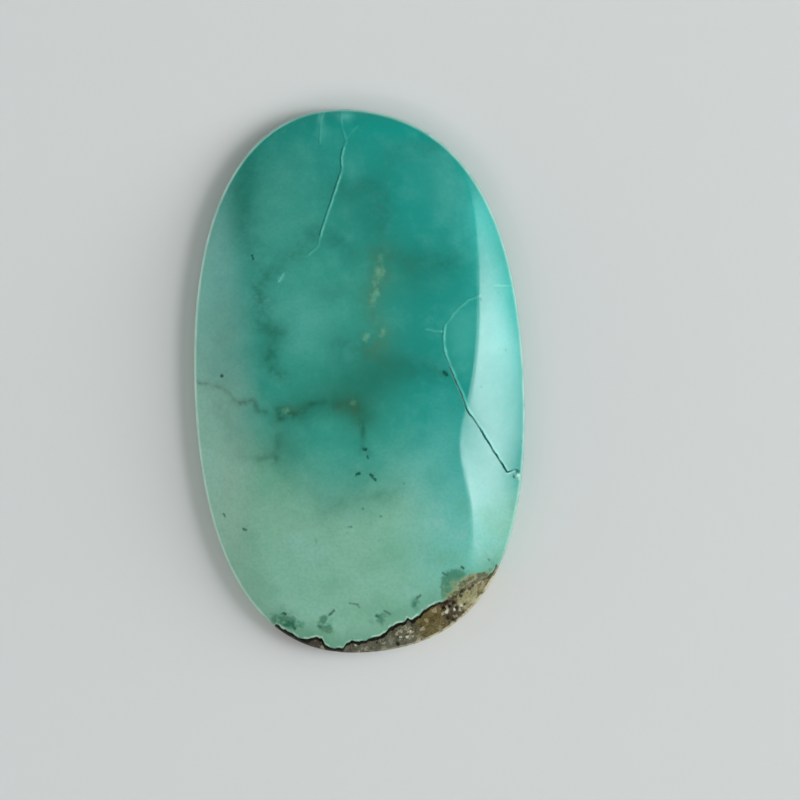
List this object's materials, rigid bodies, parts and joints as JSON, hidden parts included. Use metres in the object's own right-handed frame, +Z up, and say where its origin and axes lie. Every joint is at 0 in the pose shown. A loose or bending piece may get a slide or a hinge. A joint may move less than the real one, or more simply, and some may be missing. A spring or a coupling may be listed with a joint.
{
  "type": "turquoise cabochon",
  "caption": "Loose polished oval turquoise cabochon with a low dome, ground flanks, a flat back and a thin sliver of host rock at one end.",
  "frame": {"origin": "middle of the flat back, on the surface that the stone rests on", "axes": "+Z up out of the dome, +Y along the stone's length away from the host rock, +X across it towards the flatter flank"},
  "size_m": [0.0182, 0.03, 0.004],
  "materials": {
    "turquoise": "hand-polished blue-green turquoise, teal at one end and pale green at the other, with dull brown-grey host rock along part of the rim"
  },
  "bodies": {
    "root": {"cabochon": "turquoise"}
  },
  "joints": []
}
